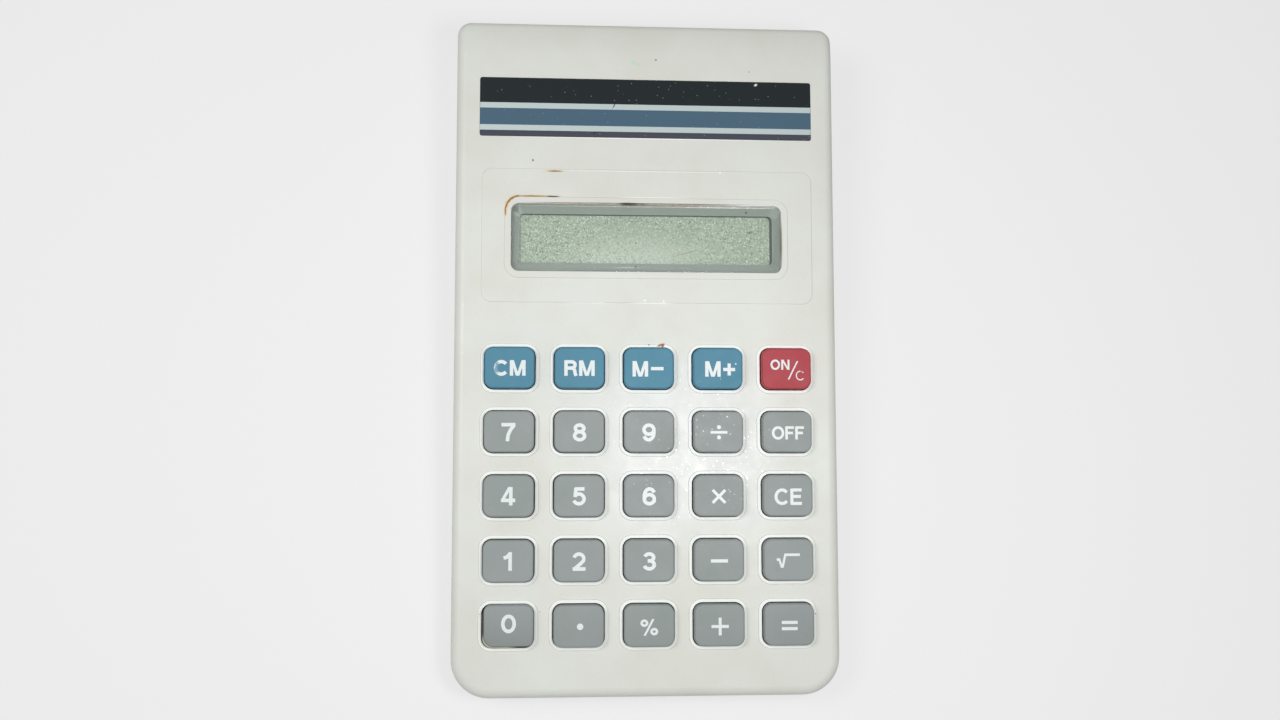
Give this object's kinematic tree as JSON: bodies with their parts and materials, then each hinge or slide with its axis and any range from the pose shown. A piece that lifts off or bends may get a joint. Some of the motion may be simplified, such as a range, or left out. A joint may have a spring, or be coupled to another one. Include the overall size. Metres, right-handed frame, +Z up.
{
  "type": "pocket calculator",
  "caption": "Handheld wedge-shaped electronic calculator: ivory two-part case, recessed display, sprung keys on a dome mat, sliding battery door.",
  "frame": {"origin": "middle of the plan at the level of the flat base", "axes": "+X to the reader's right, +Y towards the display end, +Z up out of the base"},
  "size_m": [0.071, 0.126, 0.0198],
  "materials": {
    "ivory_abs": "satin moulded ivory, slightly yellowed",
    "blue_key_abs": "satin moulded blue",
    "red_key_abs": "satin moulded red",
    "grey_key_abs": "satin moulded grey",
    "striped_foil": "printed stripes on a brushed silver foil",
    "clear_acrylic": "clear and glossy",
    "grey_border": "grey print behind the window",
    "polarizer_film": "thin film",
    "lcd_glass": "float glass",
    "reflector_film": "fine grained, pale green",
    "zebra_rubber": "layered black and clear",
    "foam_strip": "soft foam",
    "silicone_rubber": "matte grey silicone",
    "board_laminate": "bare paper laminate",
    "black_epoxy": "glossy drop",
    "capacitor_sleeve": "shrunk sleeve",
    "resistor_body": "lacquered",
    "zinc_steel": "bright zinc plate",
    "battery_jacket": "plain printed jacket with bare ends",
    "nickel_steel": "nickel plated spring steel",
    "red_wire": "vinyl insulation",
    "black_wire": "vinyl insulation"
  },
  "bodies": {
    "housing": {"front_case": "ivory_abs", "rear_case": "ivory_abs", "nameplate": "striped_foil", "display_window": "clear_acrylic", "display_border": "grey_border", "lcd_front_polarizer": "polarizer_film", "lcd_front_glass": "lcd_glass", "lcd_rear_glass": "lcd_glass", "lcd_reflector": "reflector_film", "zebra_connector": "zebra_rubber", "lcd_support_strip": "foam_strip", "keypad_mat": "silicone_rubber", "circuit_board": "board_laminate", "chip_blob": "black_epoxy", "capacitor": "capacitor_sleeve", "resistors": "resistor_body", "case_screws": "zinc_steel", "board_screws": "zinc_steel", "battery_cell": "battery_jacket", "battery_positive_contact": "nickel_steel", "battery_negative_contact": "nickel_steel", "battery_spring": "nickel_steel", "battery_positive_wire": "red_wire", "battery_negative_wire": "black_wire"},
    "battery_door": {"battery_door": "ivory_abs"},
    "key_clear_memory": {"key_clear_memory": "blue_key_abs"},
    "key_recall_memory": {"key_recall_memory": "blue_key_abs"},
    "key_memory_minus": {"key_memory_minus": "blue_key_abs"},
    "key_memory_plus": {"key_memory_plus": "blue_key_abs"},
    "key_on_clear": {"key_on_clear": "red_key_abs"},
    "key_7": {"key_7": "grey_key_abs"},
    "key_8": {"key_8": "grey_key_abs"},
    "key_9": {"key_9": "grey_key_abs"},
    "key_divide": {"key_divide": "grey_key_abs"},
    "key_off": {"key_off": "grey_key_abs"},
    "key_4": {"key_4": "grey_key_abs"},
    "key_5": {"key_5": "grey_key_abs"},
    "key_6": {"key_6": "grey_key_abs"},
    "key_multiply": {"key_multiply": "grey_key_abs"},
    "key_clear_entry": {"key_clear_entry": "grey_key_abs"},
    "key_1": {"key_1": "grey_key_abs"},
    "key_2": {"key_2": "grey_key_abs"},
    "key_3": {"key_3": "grey_key_abs"},
    "key_subtract": {"key_subtract": "grey_key_abs"},
    "key_square_root": {"key_square_root": "grey_key_abs"},
    "key_0": {"key_0": "grey_key_abs"},
    "key_decimal_point": {"key_decimal_point": "grey_key_abs"},
    "key_percent": {"key_percent": "grey_key_abs"},
    "key_add": {"key_add": "grey_key_abs"},
    "key_equals": {"key_equals": "grey_key_abs"}
  },
  "joints": [
    {"name": "battery_door_slide", "type": "slide", "parent": "housing", "child": "battery_door", "axis": [0, 1, 0], "range_m": [0, 0.0197]},
    {"name": "press_clear_memory", "type": "slide", "parent": "housing", "child": "key_clear_memory", "axis": [0, -0.0752, 0.9972], "range_m": [-0.001, 0], "stiffness_N_per_m": 300, "springref_m": 0.0005, "deforming": ["keypad_mat"]},
    {"name": "press_recall_memory", "type": "slide", "parent": "housing", "child": "key_recall_memory", "axis": [0, -0.0752, 0.9972], "range_m": [-0.001, 0], "stiffness_N_per_m": 300, "springref_m": 0.0005, "deforming": ["keypad_mat"]},
    {"name": "press_memory_minus", "type": "slide", "parent": "housing", "child": "key_memory_minus", "axis": [0, -0.0752, 0.9972], "range_m": [-0.001, 0], "stiffness_N_per_m": 300, "springref_m": 0.0005, "deforming": ["keypad_mat"]},
    {"name": "press_memory_plus", "type": "slide", "parent": "housing", "child": "key_memory_plus", "axis": [0, -0.0752, 0.9972], "range_m": [-0.001, 0], "stiffness_N_per_m": 300, "springref_m": 0.0005, "deforming": ["keypad_mat"]},
    {"name": "press_on_clear", "type": "slide", "parent": "housing", "child": "key_on_clear", "axis": [0, -0.0752, 0.9972], "range_m": [-0.001, 0], "stiffness_N_per_m": 300, "springref_m": 0.0005, "deforming": ["keypad_mat"]},
    {"name": "press_7", "type": "slide", "parent": "housing", "child": "key_7", "axis": [0, -0.0752, 0.9972], "range_m": [-0.001, 0], "stiffness_N_per_m": 300, "springref_m": 0.0005, "deforming": ["keypad_mat"]},
    {"name": "press_8", "type": "slide", "parent": "housing", "child": "key_8", "axis": [0, -0.0752, 0.9972], "range_m": [-0.001, 0], "stiffness_N_per_m": 300, "springref_m": 0.0005, "deforming": ["keypad_mat"]},
    {"name": "press_9", "type": "slide", "parent": "housing", "child": "key_9", "axis": [0, -0.0752, 0.9972], "range_m": [-0.001, 0], "stiffness_N_per_m": 300, "springref_m": 0.0005, "deforming": ["keypad_mat"]},
    {"name": "press_divide", "type": "slide", "parent": "housing", "child": "key_divide", "axis": [0, -0.0752, 0.9972], "range_m": [-0.001, 0], "stiffness_N_per_m": 300, "springref_m": 0.0005, "deforming": ["keypad_mat"]},
    {"name": "press_off", "type": "slide", "parent": "housing", "child": "key_off", "axis": [0, -0.0752, 0.9972], "range_m": [-0.001, 0], "stiffness_N_per_m": 300, "springref_m": 0.0005, "deforming": ["keypad_mat"]},
    {"name": "press_4", "type": "slide", "parent": "housing", "child": "key_4", "axis": [0, -0.0752, 0.9972], "range_m": [-0.001, 0], "stiffness_N_per_m": 300, "springref_m": 0.0005, "deforming": ["keypad_mat"]},
    {"name": "press_5", "type": "slide", "parent": "housing", "child": "key_5", "axis": [0, -0.0752, 0.9972], "range_m": [-0.001, 0], "stiffness_N_per_m": 300, "springref_m": 0.0005, "deforming": ["keypad_mat"]},
    {"name": "press_6", "type": "slide", "parent": "housing", "child": "key_6", "axis": [0, -0.0752, 0.9972], "range_m": [-0.001, 0], "stiffness_N_per_m": 300, "springref_m": 0.0005, "deforming": ["keypad_mat"]},
    {"name": "press_multiply", "type": "slide", "parent": "housing", "child": "key_multiply", "axis": [0, -0.0752, 0.9972], "range_m": [-0.001, 0], "stiffness_N_per_m": 300, "springref_m": 0.0005, "deforming": ["keypad_mat"]},
    {"name": "press_clear_entry", "type": "slide", "parent": "housing", "child": "key_clear_entry", "axis": [0, -0.0752, 0.9972], "range_m": [-0.001, 0], "stiffness_N_per_m": 300, "springref_m": 0.0005, "deforming": ["keypad_mat"]},
    {"name": "press_1", "type": "slide", "parent": "housing", "child": "key_1", "axis": [0, -0.0752, 0.9972], "range_m": [-0.001, 0], "stiffness_N_per_m": 300, "springref_m": 0.0005, "deforming": ["keypad_mat"]},
    {"name": "press_2", "type": "slide", "parent": "housing", "child": "key_2", "axis": [0, -0.0752, 0.9972], "range_m": [-0.001, 0], "stiffness_N_per_m": 300, "springref_m": 0.0005, "deforming": ["keypad_mat"]},
    {"name": "press_3", "type": "slide", "parent": "housing", "child": "key_3", "axis": [0, -0.0752, 0.9972], "range_m": [-0.001, 0], "stiffness_N_per_m": 300, "springref_m": 0.0005, "deforming": ["keypad_mat"]},
    {"name": "press_subtract", "type": "slide", "parent": "housing", "child": "key_subtract", "axis": [0, -0.0752, 0.9972], "range_m": [-0.001, 0], "stiffness_N_per_m": 300, "springref_m": 0.0005, "deforming": ["keypad_mat"]},
    {"name": "press_square_root", "type": "slide", "parent": "housing", "child": "key_square_root", "axis": [0, -0.0752, 0.9972], "range_m": [-0.001, 0], "stiffness_N_per_m": 300, "springref_m": 0.0005, "deforming": ["keypad_mat"]},
    {"name": "press_0", "type": "slide", "parent": "housing", "child": "key_0", "axis": [0, -0.0752, 0.9972], "range_m": [-0.001, 0], "stiffness_N_per_m": 300, "springref_m": 0.0005, "deforming": ["keypad_mat"]},
    {"name": "press_decimal_point", "type": "slide", "parent": "housing", "child": "key_decimal_point", "axis": [0, -0.0752, 0.9972], "range_m": [-0.001, 0], "stiffness_N_per_m": 300, "springref_m": 0.0005, "deforming": ["keypad_mat"]},
    {"name": "press_percent", "type": "slide", "parent": "housing", "child": "key_percent", "axis": [0, -0.0752, 0.9972], "range_m": [-0.001, 0], "stiffness_N_per_m": 300, "springref_m": 0.0005, "deforming": ["keypad_mat"]},
    {"name": "press_add", "type": "slide", "parent": "housing", "child": "key_add", "axis": [0, -0.0752, 0.9972], "range_m": [-0.001, 0], "stiffness_N_per_m": 300, "springref_m": 0.0005, "deforming": ["keypad_mat"]},
    {"name": "press_equals", "type": "slide", "parent": "housing", "child": "key_equals", "axis": [0, -0.0752, 0.9972], "range_m": [-0.001, 0], "stiffness_N_per_m": 300, "springref_m": 0.0005, "deforming": ["keypad_mat"]}
  ]
}
